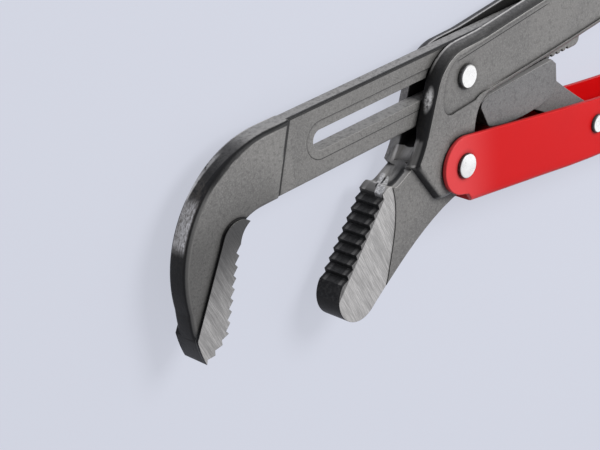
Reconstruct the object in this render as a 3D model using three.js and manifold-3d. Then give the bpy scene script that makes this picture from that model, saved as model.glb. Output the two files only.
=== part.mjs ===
// Quick-adjusting S-pattern pipe wrench, 2 inch size.
//
// Millimetres. The wrench lies flat: X runs along the hook jaw's shank from the jaws (-X) to the
// handle (+X), Y lies in the plane of the jaws, and Z is the wrench's thickness. The pieces are drawn
// about the middle plane, with the jaw pin's axis at X = Y = 0. The whole group is then lifted, so
// that the origin is the centre of the flat face of the jaw pin's lower head.

import * as THREE from 'three';
import { mergeVertices } from 'three/addons/utils/BufferGeometryUtils.js';
import Module from 'manifold-3d';

const wasm = await Module();
wasm.setup();

// ---------------------------------------------------------------- driving dimensions

const RUNNING_GAP = 0.3; // clearance where one piece runs on another
const SEAT_GAP = 0.05; // clearance under a riveted head

// hook jaw and its shank
const SHANK_HEIGHT = 30;
const SHANK_THICKNESS = 7;
const SHANK_EDGE = 0.9; // rounding of the shank's long edges
const SLOT_HEIGHT = 8.8;
const SLOT_REACH = 87.5; // jaw pin to the slot's jaw end, at rest
const SLOT_RELIEF = 3.7; // width of the shallow relief round the slot
const RELIEF_DEPTH = 0.25;
const SLIDE_OUT = 16; // the jaw's travel towards wider, from rest
const SLIDE_IN = 56; // the jaw's travel towards closed, from rest
const JAW_THICKNESS = 10.4;
const JAW_EDGE = 2.1;
const JAW_STEP_TOP = 100; // jaw pin to the step between jaw and shank, at the shank's top edge
const JAW_STEP_LEAN = 9.8; // how much further out the step lies at the shank's lower edge
const BACK_RADIUS = 50.6; // the hook's curved back
const BACK_CENTRE = 111.8; // jaw pin to the centre of that curve
const HOOK_DROP = 66.5; // jaw pin's level to the hook's tip
const NOSE_WIDTH = 15.1; // the hook's blunt end, from its tip to the straight tooth line
const NOSE_ANGLE = 32.3; // degrees
const PAD_THICKNESS = 13; // the ground tooth pad stands a little proud of the jaw
const GROUND_DEPTH = 0.35; // how far the flanks beside the teeth are ground down
const HOOK_TOOTH_PITCH = 4.5;
const HOOK_TOOTH_DEPTH = 1.8;
const HOOK_TEETH = 8; // on the straight part of the pad
const NOSE_TEETH = 3; // on its blunt end

// rack under the shank's tail, and the locking block's teeth
const TAIL_REACH = 88; // jaw pin to the tail's end, at rest
const RACK_PITCH = 4;
const RACK_DEPTH = 1.6;
const RACK_FLANK = 30; // degrees from upright
const BLOCK_TEETH = 8;
const BLOCK_TEETH_START = 30; // jaw pin to the block's first tooth

// forged body: lower jaw, fork and handle
const BODY_THICKNESS = 20;
const BODY_EDGE = 2.7; // how far the rounding of the cheeks' rims reaches in from the outline
const BODY_DOME = 5.4; // how far it reaches down through the thickness
const LOWER_JAW_THICKNESS = 14;
const LOWER_TOOTH_PITCH = 4.6;
const LOWER_TOOTH_DEPTH = 1.8;
const LOWER_TEETH = 9;
const LOWER_TIP_RADIUS = 12;
const FORK_RADIUS = 22.6; // the fork's rounded upper corner
const FORK_CENTRE_DROP = 7.5; // jaw pin's level to that corner's centre
const SADDLE_RADIUS = 8; // rounded valley that runs out of the fork down to the teeth
const HANDLE_TILT = 5.1; // degrees, handle against shank
const HANDLE_REACH = 408; // jaw pin to the middle of the handle's round end
const HANDLE_HALF = 14.5; // half the handle's height at the fork
const GRIP_HALF = 11.5; // half its height along the grip
const GRIP_THICKNESS = 16;
const HANDLE_END_RADIUS = 14;
const HANG_HOLE = 11; // diameter
const CHANNEL_REACH = 152; // jaw pin to the end of the slot between the handle's walls
const PANEL_DEPTH = 0.8; // sunk panel on each side
const PANEL_RIM = 3.2; // width of the rim left round it

// squeeze lever
const LEVER_X = -7; // lever pin
const LEVER_Y = -38.2;
const LEVER_TILT = -9.7; // degrees
const LEVER_SHEET = 2.2;
const LEVER_BEND = 2.8; // outer bend radius between wall and web
const EAR_RADIUS = 13.2;
const WEB_DROP = 18; // lever pin to the web's outer face
const WEB_START = 7; // lever pin to the web's front edge
const LEVER_REACH = 372; // lever pin to the middle of the lever's round end
const LEVER_GRIP_HALF = 10.5;
const LEVER_HALF = 15; // half the lever's height where it leaves the fork
const LEVER_OFFSET = 1.9; // how far its middle line lies below the pin there
const LEVER_STRAIGHT = 62; // lever pin to where the lever starts to bend
const LEVER_BEND_PULL = 90; // how far the bend's start keeps to the straight
const LEVER_GRIP_PULL = 110; // how far the grip keeps to its own line
const LEVER_GRIP_DROP = 26; // the grip's end below the lever pin
const LEVER_GRIP_RISE = 7; // how much the grip rises towards its end
const LEVER_ENGAGE = 2.3; // degrees that the lever closes from rest until block and rack mesh

// locking block
const BLOCK_THICKNESS = 14.6;
const BLOCK_NECK = 10; // thickness of the neck below its head
const BLOCK_PIN_X = 88;
const BLOCK_PIN_Y = -53;
const BLOCK_BOSS = 8;

// pins and bush
const JAW_PIN = 6.6; // diameters
const JAW_PIN_HEAD = 11;
const JAW_HEAD_HEIGHT = 1.8;
const LEVER_PIN = 8;
const LEVER_PIN_HEAD = 11.2;
const LEVER_HEAD_HEIGHT = 1.4;
const BLOCK_PIN = 6;
const BLOCK_PIN_HEAD = 9;
const BLOCK_HEAD_HEIGHT = 1.4;
const HEAD_CROWN = 0.86; // a head's flat top against its base

// springs
const SPRING_WIRE = 1.3;
const LEVER_SPRING_TURNS = 1.5;
const SPRING_POCKET = 20; // diameter of the pocket round the lever pin
const POCKET_DEPTH = 4.6;

// ---------------------------------------------------------------- values that follow

const shankTop = SHANK_HEIGHT / 2;
const channelWidth = SHANK_THICKNESS + 2 * (RUNNING_GAP + 0.1);
const bodyFace = BODY_THICKNESS / 2;
const panelFace = bodyFace - PANEL_DEPTH;
const groundFace = LOWER_JAW_THICKNESS / 2 - GROUND_DEPTH;
const leverInner = bodyFace + RUNNING_GAP;
const leverFace = leverInner + LEVER_SHEET;
const handleTilt = THREE.MathUtils.degToRad(HANDLE_TILT);
const leverTilt = THREE.MathUtils.degToRad(LEVER_TILT);
const slotRight = SLIDE_OUT + SLOT_HEIGHT / 2 + RUNNING_GAP;
const rackStart = BLOCK_TEETH_START - SLIDE_IN;
const rackTeeth = BLOCK_TEETH + Math.round((SLIDE_IN + SLIDE_OUT) / RACK_PITCH);
const toothLineAngle = THREE.MathUtils.degToRad(251.5);
const lowerToothAngle = THREE.MathUtils.degToRad(228);
const headFace = panelFace + SEAT_GAP + JAW_HEAD_HEIGHT;

// ---------------------------------------------------------------- helpers

function solid(geometry) {
  geometry.deleteAttribute('normal');
  geometry.deleteAttribute('uv');
  const merged = mergeVertices(geometry, 1e-4);
  const corners = [];
  for (let i = 0; i < merged.index.count; i += 3) {
    const [a, b, c] = [0, 1, 2].map((k) => merged.index.getX(i + k));
    if (a !== b && b !== c && c !== a) {
      corners.push(a, b, c);
    }
  }
  const mesh = new wasm.Mesh({
    numProp: 3,
    vertProperties: new Float32Array(merged.attributes.position.array),
    triVerts: new Uint32Array(corners),
  });
  return new wasm.Manifold(mesh);
}

function pieceMesh(name, manifold, material) {
  const { vertProperties, triVerts } = manifold.getMesh();
  const geometry = new THREE.BufferGeometry();
  geometry.setAttribute('position', new THREE.BufferAttribute(new Float32Array(vertProperties), 3));
  geometry.setIndex(new THREE.BufferAttribute(new Uint32Array(triVerts), 1));
  const flat = geometry.toNonIndexed();
  flat.computeVertexNormals();
  const mesh = new THREE.Mesh(flat, material);
  mesh.name = name;
  return mesh;
}

// the shape's points in anticlockwise order, without near-doubles and points along straight sides
function cleanOutline(shape, curveSegments) {
  let points = [];
  for (const point of shape.getPoints(curveSegments)) {
    if (points.every((other) => other.distanceTo(point) > 0.02)) {
      points.push(point);
    }
  }
  points = points.filter((point, i) => {
    const before = point.clone().sub(points[(i + points.length - 1) % points.length]).normalize();
    const after = points[(i + 1) % points.length].clone().sub(point).normalize();
    return Math.abs(before.cross(after)) > 1e-5;
  });
  return THREE.ShapeUtils.area(points) > 0 ? points : points.reverse();
}

function crossing(a, b) {
  const turn = a.direction.cross(b.direction);
  if (Math.abs(turn) < 1e-4) {
    return b.from.clone();
  }
  const distance = b.from.clone().sub(a.from).cross(b.direction) / turn;
  return a.from.clone().addScaledVector(a.direction, distance);
}

// the outline after every side has moved inwards; a side that shrinks away leaves its ends together
function insetOutline(points, distance) {
  const sides = points.map((from, i) => {
    const direction = points[(i + 1) % points.length].clone().sub(from).normalize();
    const inward = new THREE.Vector2(-direction.y, direction.x);
    return { from: from.clone().addScaledVector(inward, distance), direction };
  });
  const left = sides.map((side, i) => i);
  let corners = [];
  for (;;) {
    corners = left.map((side, k) => crossing(sides[left[(k + left.length - 1) % left.length]], sides[side]));
    const lengths = left.map((side, k) => (
      corners[(k + 1) % left.length].clone().sub(corners[k]).dot(sides[side].direction)
    ));
    const shortest = lengths.indexOf(Math.min(...lengths));
    if (lengths[shortest] > 1e-3) {
      break;
    }
    left.splice(shortest, 1);
  }
  return points.map((point, i) => {
    const next = left.findIndex((side) => side >= i);
    return corners[Math.max(next, 0)];
  });
}

// a flat piece of the shape's outline, centred on z, with its edges rounded by edge
function plateGeometry(shape, thickness, { z = 0, edge = 0, dome = edge, curveSegments = 10 } = {}) {
  const outline = cleanOutline(shape, curveSegments);
  const count = outline.length;
  const steps = edge > 0 ? 3 : 0;
  const rings = [];
  for (let k = 0; k <= steps; k += 1) {
    const turn = steps > 0 ? (k / steps) * (Math.PI / 2) : Math.PI / 2;
    const ring = insetOutline(outline, edge * (1 - Math.sin(turn)));
    const height = thickness / 2 - dome * (1 - Math.cos(turn));
    rings.splice(k, 0, { ring, height: -height });
    rings.splice(rings.length - k, 0, { ring, height });
  }
  const position = rings.flatMap(({ ring, height }) => ring.flatMap((point) => [point.x, point.y, z + height]));
  const index = [];
  for (let r = 0; r + 1 < rings.length; r += 1) {
    for (let i = 0; i < count; i += 1) {
      const j = (i + 1) % count;
      index.push(r * count + i, r * count + j, (r + 1) * count + j);
      index.push(r * count + i, (r + 1) * count + j, (r + 1) * count + i);
    }
  }
  const { ring } = rings[0];
  const ends = ring.map((point, i) => i).filter((i) => ring[i] !== ring[(i + count - 1) % count]);
  const top = (rings.length - 1) * count;
  for (const [a, b, c] of THREE.ShapeUtils.triangulateShape(ends.map((i) => ring[i]), [])) {
    index.push(ends[a], ends[c], ends[b]);
    index.push(top + ends[a], top + ends[b], top + ends[c]);
  }
  const geometry = new THREE.BufferGeometry();
  geometry.setAttribute('position', new THREE.Float32BufferAttribute(position, 3));
  geometry.setIndex(index);
  return geometry;
}

function plate(shape, thickness, options) {
  return solid(plateGeometry(shape, thickness, options));
}

function polygon(points) {
  return new THREE.Shape(points.map(([x, y]) => new THREE.Vector2(x, y)));
}

// a cylinder along Z
function cylinder(radius, height, x = 0, y = 0, z = 0) {
  const geometry = new THREE.CylinderGeometry(radius, radius, height, 32);
  geometry.rotateX(Math.PI / 2);
  geometry.translate(x, y, z);
  return solid(geometry);
}

function along(start, angle, distance, side = 0) {
  return [
    start[0] + Math.cos(angle) * distance - Math.sin(angle) * side,
    start[1] + Math.sin(angle) * distance + Math.cos(angle) * side,
  ];
}

// what lies outside a row of raked teeth; rootAt is each root's place between its two tips, and
// inward is 1 when the material lies to the left of the row, -1 when to the right
function outsideTeeth(tips, depth, rootAt, inward, thickness) {
  const zigzag = [];
  const far = [];
  tips.forEach((tip, i) => {
    const next = tips[Math.min(i + 1, tips.length - 1)];
    const from = next === tip ? tips[i - 1] : tip;
    const to = next === tip ? tip : next;
    const angle = Math.atan2(to[1] - from[1], to[0] - from[0]);
    const pitch = Math.hypot(to[0] - from[0], to[1] - from[1]);
    zigzag.push(along(tip, angle, 0, inward * 0.1));
    if (next !== tip) {
      zigzag.push(along(tip, angle, pitch * rootAt, inward * depth));
    }
    far.unshift(along(tip, angle, 0, -inward * 4 * depth));
  });
  return plate(polygon([...zigzag, ...far]), thickness);
}

function wire(path, radius, steps, curveSegments = 4) {
  const section = new THREE.Shape();
  section.absarc(0, 0, radius, 0, 2 * Math.PI);
  return solid(new THREE.ExtrudeGeometry(section, {
    extrudePath: path,
    steps,
    curveSegments,
    bevelEnabled: false,
  }));
}

// torsion spring: a coil about a Z axis, with a straight leg along the tangent at each end
class TorsionSpring extends THREE.Curve {
  constructor({ x, y, zLow, radius, pitch, turns, startAngle, legs }) {
    super();
    Object.assign(this, { x, y, zLow, radius, pitch, turns, startAngle, legs });
    this.coilLength = turns * 2 * Math.PI * radius;
    this.total = legs[0] + this.coilLength + legs[1];
  }

  onCoil(turned) {
    const angle = this.startAngle + turned * 2 * Math.PI;
    return new THREE.Vector3(
      this.x + this.radius * Math.cos(angle),
      this.y + this.radius * Math.sin(angle),
      this.zLow + this.pitch * turned,
    );
  }

  getPoint(t) {
    const distance = t * this.total - this.legs[0];
    const turned = THREE.MathUtils.clamp(distance / this.coilLength, 0, 1) * this.turns;
    const point = this.onCoil(turned);
    const beyond = distance < 0 ? distance : Math.max(0, distance - this.coilLength);
    const angle = this.startAngle + turned * 2 * Math.PI;
    point.x -= Math.sin(angle) * beyond;
    point.y += Math.cos(angle) * beyond;
    return point;
  }
}

// ---------------------------------------------------------------- materials

const forged = { roughness: 0.55, metalness: 0.6 };
const materials = {
  hook: new THREE.MeshStandardMaterial({ color: 0x7d7b78, ...forged }),
  body: new THREE.MeshStandardMaterial({ color: 0x777572, ...forged }),
  lever: new THREE.MeshStandardMaterial({ color: 0xd22b2b, roughness: 0.4, metalness: 0.1 }),
  pin: new THREE.MeshStandardMaterial({ color: 0xe8e8e6, roughness: 0.2, metalness: 1 }),
  block: new THREE.MeshStandardMaterial({ color: 0x757473, ...forged }),
  bush: new THREE.MeshStandardMaterial({ color: 0x9a9a98, roughness: 0.3, metalness: 0.9 }),
  spring: new THREE.MeshStandardMaterial({ color: 0x8c8f92, roughness: 0.35, metalness: 0.9 }),
};

// ---------------------------------------------------------------- hook jaw

const noseAngle = THREE.MathUtils.degToRad(NOSE_ANGLE);
const hookTip = [-(BACK_CENTRE + BACK_RADIUS - 4.5), -HOOK_DROP];
const hookLineEnd = along(hookTip, noseAngle, NOSE_WIDTH);
const hookLineStart = along(hookLineEnd, toothLineAngle, -HOOK_TEETH * HOOK_TOOTH_PITCH);

// the hook with its throat, up to the slanted step where the thinner shank starts
function jawOutline() {
  const shape = new THREE.Shape();
  shape.moveTo(-JAW_STEP_TOP, shankTop);
  shape.lineTo(-BACK_CENTRE, shankTop);
  shape.absarc(-BACK_CENTRE, shankTop - BACK_RADIUS, BACK_RADIUS, Math.PI / 2, Math.PI * 1.05, false);
  shape.quadraticCurveTo(hookTip[0] - 3.8, hookTip[1] + 9, ...hookTip);
  shape.quadraticCurveTo(...along(hookTip, noseAngle, NOSE_WIDTH / 2, -1.6), ...hookLineEnd);
  shape.lineTo(...hookLineStart);
  const throatLift = [hookLineStart[0] + 1.2, hookLineStart[1] + 5];
  shape.bezierCurveTo(...throatLift, hookLineStart[0] + 5.5, -shankTop, -JAW_STEP_TOP - JAW_STEP_LEAN - 8, -shankTop);
  shape.lineTo(-JAW_STEP_TOP - JAW_STEP_LEAN, -shankTop);
  return shape;
}

// the thicker pad along the teeth
function padOutline() {
  const shape = new THREE.Shape();
  const headRadius = 9;
  const headCentre = [hookLineStart[0], hookLineStart[1] + 1];
  const outside = HOOK_TOOTH_DEPTH * 3;
  const lowerEdge = [hookTip[0] - 4, hookTip[1] + 10];
  shape.moveTo(...along(hookLineStart, toothLineAngle, 0, outside));
  shape.lineTo(headCentre[0] + headRadius * Math.cos(0.5), headCentre[1] + headRadius * Math.sin(0.5));
  shape.absarc(...headCentre, headRadius, 0.5, THREE.MathUtils.degToRad(154), false);
  shape.lineTo(...lowerEdge);
  shape.lineTo(lowerEdge[0], -HOOK_DROP - outside);
  shape.lineTo(hookLineEnd[0] + outside, -HOOK_DROP - outside);
  return shape;
}

function slotOutline(grow) {
  const radius = SLOT_HEIGHT / 2 + grow;
  const left = -SLOT_REACH + SLOT_HEIGHT / 2;
  const right = slotRight - SLOT_HEIGHT / 2;
  const shape = new THREE.Shape();
  shape.absarc(left, 0, radius, Math.PI / 2, Math.PI * 1.5, false);
  shape.absarc(right, 0, radius, -Math.PI / 2, Math.PI / 2, false);
  return shape;
}

// the relief is deepest above the slot, and runs out to nothing below it
function slotRelief(side) {
  const reach = SLOT_HEIGHT / 2 + SLOT_RELIEF;
  const geometry = plateGeometry(slotOutline(SLOT_RELIEF), 4, { z: side * (SHANK_THICKNESS / 2 + 2) });
  const position = geometry.attributes.position;
  for (let i = 0; i < position.count; i += 1) {
    const share = (position.getY(i) + reach) / (2 * reach);
    const depth = side * (RELIEF_DEPTH * 2 * share - 0.05);
    position.setZ(i, position.getZ(i) - depth);
  }
  return solid(geometry);
}

// one tooth space of the rack, narrowing upwards from the crest line
function rackSpace(x, crest, depth) {
  const run = depth * Math.tan(THREE.MathUtils.degToRad(RACK_FLANK));
  const half = RACK_PITCH / 4 + run / 2 + RUNNING_GAP / 4;
  const below = depth;
  return polygon([
    [x - half, crest - below],
    [x + half, crest - below],
    [x + half, crest],
    [x + half - run, crest + depth],
    [x - half + run, crest + depth],
    [x - half, crest],
  ]);
}

function hookJaw() {
  const shank = new THREE.Shape();
  const tailRound = 4;
  shank.moveTo(-JAW_STEP_TOP - JAW_STEP_LEAN - 6, -shankTop);
  shank.lineTo(TAIL_REACH - tailRound, -shankTop);
  shank.absarc(TAIL_REACH - tailRound, -shankTop + tailRound, tailRound, -Math.PI / 2, 0, false);
  shank.absarc(TAIL_REACH - tailRound, shankTop - tailRound, tailRound, 0, Math.PI / 2, false);
  shank.lineTo(-JAW_STEP_TOP - 6, shankTop);
  let piece = plate(shank, SHANK_THICKNESS, { edge: SHANK_EDGE });
  piece = piece.add(plate(jawOutline(), JAW_THICKNESS, { edge: JAW_EDGE, curveSegments: 14 }));

  const pad = plate(padOutline(), PAD_THICKNESS);
  piece = piece.add(pad.intersect(plate(jawOutline(), PAD_THICKNESS, { curveSegments: 14 })));

  const wide = PAD_THICKNESS * 2;
  const tips = [];
  for (let i = 0; i <= HOOK_TEETH; i += 1) {
    tips.push(along(hookLineStart, toothLineAngle, i * HOOK_TOOTH_PITCH));
  }
  for (let i = 1; i <= NOSE_TEETH; i += 1) {
    const share = i / NOSE_TEETH;
    tips.push(along(hookLineEnd, noseAngle + Math.PI, NOSE_WIDTH * share, 3.2 * share * (1 - share)));
  }
  piece = piece.subtract(outsideTeeth(tips, HOOK_TOOTH_DEPTH, 0.73, -1, wide));

  piece = piece.subtract(plate(slotOutline(0), wide));
  for (const side of [-1, 1]) {
    piece = piece.subtract(slotRelief(side));
  }
  for (let i = 0; i <= rackTeeth; i += 1) {
    piece = piece.subtract(plate(rackSpace(rackStart + i * RACK_PITCH, -shankTop, RACK_DEPTH), wide));
  }
  return piece;
}

// ---------------------------------------------------------------- handle body

const handleOrigin = [0, -0.4];

function onHandle(u, v) {
  return along(handleOrigin, handleTilt, u, v);
}

const lowerLineStart = [-53.8, -35.2];
const lowerLineEnd = along(lowerLineStart, lowerToothAngle, LOWER_TEETH * LOWER_TOOTH_PITCH);
const lowerTipCentre = along(lowerLineEnd, lowerToothAngle, 0, LOWER_TIP_RADIUS);

// lower jaw: heel, rounded tip, tooth line, throat and the saddle under the shank
function lowerJawOutline() {
  const heelAngle = THREE.MathUtils.degToRad(-56);
  const heelEnd = along(lowerTipCentre, heelAngle, LOWER_TIP_RADIUS);
  const shape = new THREE.Shape();
  shape.moveTo(LEVER_X + 3, LEVER_Y - 14.6);
  shape.bezierCurveTo(-26, -56.3, heelEnd[0] + 19, heelEnd[1] + 13.6, ...heelEnd);
  shape.absarc(...lowerTipCentre, LOWER_TIP_RADIUS, heelAngle, lowerToothAngle - Math.PI / 2, true);
  shape.lineTo(...lowerLineStart);
  shape.splineThru([
    new THREE.Vector2(-49.6, -33.3),
    new THREE.Vector2(-45.2, -34.9),
    new THREE.Vector2(-38, -32),
    new THREE.Vector2(-30, -28.6),
  ]);
  shape.lineTo(-10, -28.2);
  shape.lineTo(LEVER_X + 6, LEVER_Y);
  return shape;
}

// the flank ground down beside the lower teeth, bounded by a long arc
function groundFlank() {
  const shape = new THREE.Shape();
  const start = along(lowerLineStart, lowerToothAngle, -4, -6);
  shape.moveTo(...start);
  shape.lineTo(-47.6, -34);
  shape.quadraticCurveTo(-44.6, -45, -50.6, -62.5);
  shape.lineTo(-54.5, -74);
  shape.lineTo(-62, -90);
  shape.lineTo(...along(lowerLineEnd, lowerToothAngle, 30, -6));
  return shape;
}

// fork cheeks, neck and the boss round the lever pin
function forkOutline() {
  const cornerCentre = [0, -FORK_CENTRE_DROP];
  const frontAngle = THREE.MathUtils.degToRad(155);
  const frontTop = along(cornerCentre, frontAngle, FORK_RADIUS);
  const frontFoot = [-36.4, -29.4];
  const stepFoot = [-23.6, -48.6];
  const bossRadius = EAR_RADIUS - 0.8;
  const shape = new THREE.Shape();
  shape.moveTo(...frontTop);
  shape.lineTo(-28.9, -17.6);
  shape.quadraticCurveTo(-31.9, -24.3, ...frontFoot);
  shape.lineTo(...stepFoot);
  shape.quadraticCurveTo(-21.5, -51.5, LEVER_X - 7, LEVER_Y - 12.6);
  shape.absarc(LEVER_X, LEVER_Y, bossRadius, THREE.MathUtils.degToRad(250), THREE.MathUtils.degToRad(380), false);
  shape.quadraticCurveTo(4.2, -25, 7.4, -19.5);
  shape.quadraticCurveTo(9.6, -14.6, ...onHandle(16, -HANDLE_HALF + 0.6));
  shape.lineTo(...onHandle(16, HANDLE_HALF));
  shape.lineTo(0, FORK_RADIUS - FORK_CENTRE_DROP);
  shape.absarc(...cornerCentre, FORK_RADIUS, Math.PI / 2, frontAngle, false);
  return shape;
}

// the handle's half height and half thickness, at a distance along it
function handleHalfHeight(u) {
  const swell = THREE.MathUtils.smoothstep(u, 0, 70);
  const narrow = THREE.MathUtils.smoothstep(u, 90, 230);
  const flare = THREE.MathUtils.smoothstep(u, HANDLE_REACH - 50, HANDLE_REACH - 8);
  return HANDLE_HALF + 0.9 * swell - (HANDLE_HALF + 0.9 - GRIP_HALF) * narrow + 1.6 * flare;
}

function handleHalfThickness(u) {
  const narrow = THREE.MathUtils.smoothstep(u, 90, 230);
  return THREE.MathUtils.lerp(BODY_THICKNESS, GRIP_THICKNESS, narrow) / 2;
}

// a solid along the handle through cross-sections in its height and thickness
function alongHandle(stations, section) {
  const rings = stations.map((u) => section(u).map(([v, z]) => [...onHandle(u, v), z]));
  const count = rings[0].length;
  const last = rings.length - 1;
  const index = [];
  for (let r = 0; r < last; r += 1) {
    for (let i = 0; i < count; i += 1) {
      const j = (i + 1) % count;
      index.push(r * count + i, r * count + j, (r + 1) * count + j);
      index.push(r * count + i, (r + 1) * count + j, (r + 1) * count + i);
    }
  }
  for (let i = 1; i + 1 < count; i += 1) {
    index.push(0, i + 1, i);
    index.push(last * count, last * count + i, last * count + i + 1);
  }
  const geometry = new THREE.BufferGeometry();
  geometry.setAttribute('position', new THREE.Float32BufferAttribute(rings.flat(2), 3));
  geometry.setIndex(index);
  return solid(geometry);
}

function stationsBetween(from, to, spacing) {
  const count = Math.ceil((to - from) / spacing);
  return Array.from({ length: count + 1 }, (unused, i) => from + ((to - from) * i) / count);
}

function roundedSection(halfHeight, halfThickness, edge, dome) {
  const points = [];
  for (let corner = 0; corner < 4; corner += 1) {
    const v = (corner === 0 || corner === 3 ? 1 : -1) * (halfHeight - edge);
    const z = (corner < 2 ? 1 : -1) * (halfThickness - dome);
    for (let k = 0; k <= 3; k += 1) {
      const angle = ((corner + k / 3) * Math.PI) / 2;
      points.push([v + edge * Math.cos(angle), z + dome * Math.sin(angle)]);
    }
  }
  return points;
}

function handleBar() {
  const stations = [
    ...stationsBetween(4, 84, 16),
    ...stationsBetween(92, 232, 10),
    ...stationsBetween(HANDLE_REACH - 52, HANDLE_REACH - 8, 6),
  ];
  const section = (u) => roundedSection(handleHalfHeight(u), handleHalfThickness(u), BODY_EDGE, BODY_DOME);
  const end = new THREE.Shape();
  end.absarc(...onHandle(HANDLE_REACH, 0), HANDLE_END_RADIUS, 0, 2 * Math.PI);
  const eye = plate(end, GRIP_THICKNESS + 0.1, { edge: BODY_EDGE, dome: BODY_DOME, curveSegments: 16 });
  return alongHandle(stations, section).add(eye);
}

// the sunk panel on one side of the handle
function handlePanel(side) {
  const reach = HANDLE_REACH - HANDLE_END_RADIUS - 12;
  const stations = [...stationsBetween(28, 92, 16), ...stationsBetween(102, 232, 10), reach - 12,
    ...stationsBetween(reach - 8, reach - 0.3, 1.1)];
  const section = (u) => {
    const left = Math.max(0, u - (reach - 8)) / 8;
    const half = (handleHalfHeight(u) - PANEL_RIM) * Math.sqrt(1 - left * left);
    const low = handleHalfThickness(u) - PANEL_DEPTH;
    const corners = [[half, low], [half, BODY_THICKNESS], [-half, BODY_THICKNESS], [-half, low]];
    return side > 0 ? corners : corners.map(([v, z]) => [v, -z]).reverse();
  };
  return alongHandle(stations, section);
}

// the same panel's part round the jaw pin
function panelOutline() {
  const shape = new THREE.Shape();
  const edge = (u) => handleHalfHeight(u) - PANEL_RIM;
  const top = FORK_RADIUS - FORK_CENTRE_DROP - PANEL_RIM - 1.4;
  shape.moveTo(-4, top);
  shape.lineTo(...onHandle(12, edge(12)));
  shape.lineTo(...onHandle(28, edge(28)));
  shape.lineTo(...onHandle(29, edge(28)));
  shape.lineTo(...onHandle(29, -edge(28)));
  shape.lineTo(...onHandle(28, -edge(28)));
  shape.lineTo(...onHandle(12, -edge(12)));
  shape.quadraticCurveTo(7.4, -10.4, 4.8, -12.4);
  shape.lineTo(-9.5, -13.4);
  shape.absarc(-11, -8.4, 5.2, -Math.PI / 2 + 0.2, -Math.PI, true);
  shape.bezierCurveTo(-16.4, -1, -12.6, 8.6, -4, top);
  return shape;
}

// the slot between the fork's cheeks and between the handle's walls
function channelOutline() {
  const floor = -29.2;
  const sill = -shankTop - 2.6;
  const far = onHandle(CHANNEL_REACH, 0);
  const round = channelWidth / 2;
  const shape = new THREE.Shape();
  shape.moveTo(-60, 40);
  shape.lineTo(-60, floor);
  shape.lineTo(-33.5, floor);
  shape.bezierCurveTo(-28.5, -28.4, -27.5, -23.4, -21.5, -22.4);
  shape.quadraticCurveTo(-16.5, sill - 3.4, -14, sill);
  shape.lineTo(11, sill);
  shape.lineTo(11, -34);
  shape.lineTo(far[0] - round, -34);
  shape.lineTo(far[0], -34 + round);
  shape.lineTo(far[0], 60 - round);
  shape.lineTo(far[0] - round, 60);
  shape.lineTo(-20, 60);
  return shape;
}

// the valley between the cheeks, deepest where the fork's front turns into the jaw's back
function saddleValley() {
  const line = [[-34.8, -11.7], [-34.6, -16.7], [-38.1, -22.4], [-41, -25.6], [-43.2, -27]];
  const path = new THREE.CatmullRomCurve3(line.map(([x, y]) => new THREE.Vector3(x, y, 0)));
  const end = solid(new THREE.SphereGeometry(SADDLE_RADIUS, 24, 12));
  return wire(path, SADDLE_RADIUS, 10, 12).add(end.translate([...line.at(-1), 0]));
}

function handleBody() {
  let piece = plate(forkOutline(), BODY_THICKNESS, { edge: BODY_EDGE, dome: BODY_DOME, curveSegments: 9 });
  piece = piece.add(handleBar());
  piece = piece.subtract(plate(channelOutline(), channelWidth));
  let jaw = plate(lowerJawOutline(), LOWER_JAW_THICKNESS, { edge: 0.4 });
  jaw = jaw.subtract(plate(channelOutline(), channelWidth));
  piece = piece.add(jaw);
  piece = piece.subtract(saddleValley());

  const wide = BODY_THICKNESS * 2;
  const tips = [];
  for (let i = 0; i <= LOWER_TEETH; i += 1) {
    tips.push(along(lowerLineStart, lowerToothAngle, i * LOWER_TOOTH_PITCH));
  }
  piece = piece.subtract(outsideTeeth(tips, LOWER_TOOTH_DEPTH, 0.27, 1, wide));

  for (const side of [-1, 1]) {
    piece = piece.subtract(plate(panelOutline(), wide, { z: side * (wide / 2 + panelFace) }));
    piece = piece.subtract(handlePanel(side));
    piece = piece.subtract(plate(groundFlank(), wide, { z: side * (wide / 2 + groundFace) }));
  }
  piece = piece.subtract(cylinder(JAW_PIN / 2 + RUNNING_GAP, wide));
  piece = piece.subtract(cylinder(LEVER_PIN / 2 + RUNNING_GAP, wide, LEVER_X, LEVER_Y));
  const pocketZ = -bodyFace - POCKET_DEPTH;
  piece = piece.subtract(cylinder(SPRING_POCKET / 2, 4 * POCKET_DEPTH, LEVER_X, LEVER_Y, pocketZ));
  const end = onHandle(HANDLE_REACH, 0);
  piece = piece.subtract(cylinder(HANG_HOLE / 2, wide, ...end));
  return piece;
}

// ---------------------------------------------------------------- squeeze lever

const leverPinAt = [LEVER_X, LEVER_Y];

function onLever(u, v) {
  return along(leverPinAt, leverTilt, u, v);
}

// the lever's middle line: straight at the fork, then bending up to run beside the handle
const leverLine = new THREE.CubicBezierCurve(
  new THREE.Vector2(...onLever(LEVER_STRAIGHT, -LEVER_OFFSET)),
  new THREE.Vector2(...onLever(LEVER_STRAIGHT + LEVER_BEND_PULL, -LEVER_OFFSET)),
  new THREE.Vector2(LEVER_X + LEVER_REACH - LEVER_GRIP_PULL, LEVER_Y - LEVER_GRIP_DROP - LEVER_GRIP_RISE),
  new THREE.Vector2(LEVER_X + LEVER_REACH, LEVER_Y - LEVER_GRIP_DROP),
);

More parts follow.
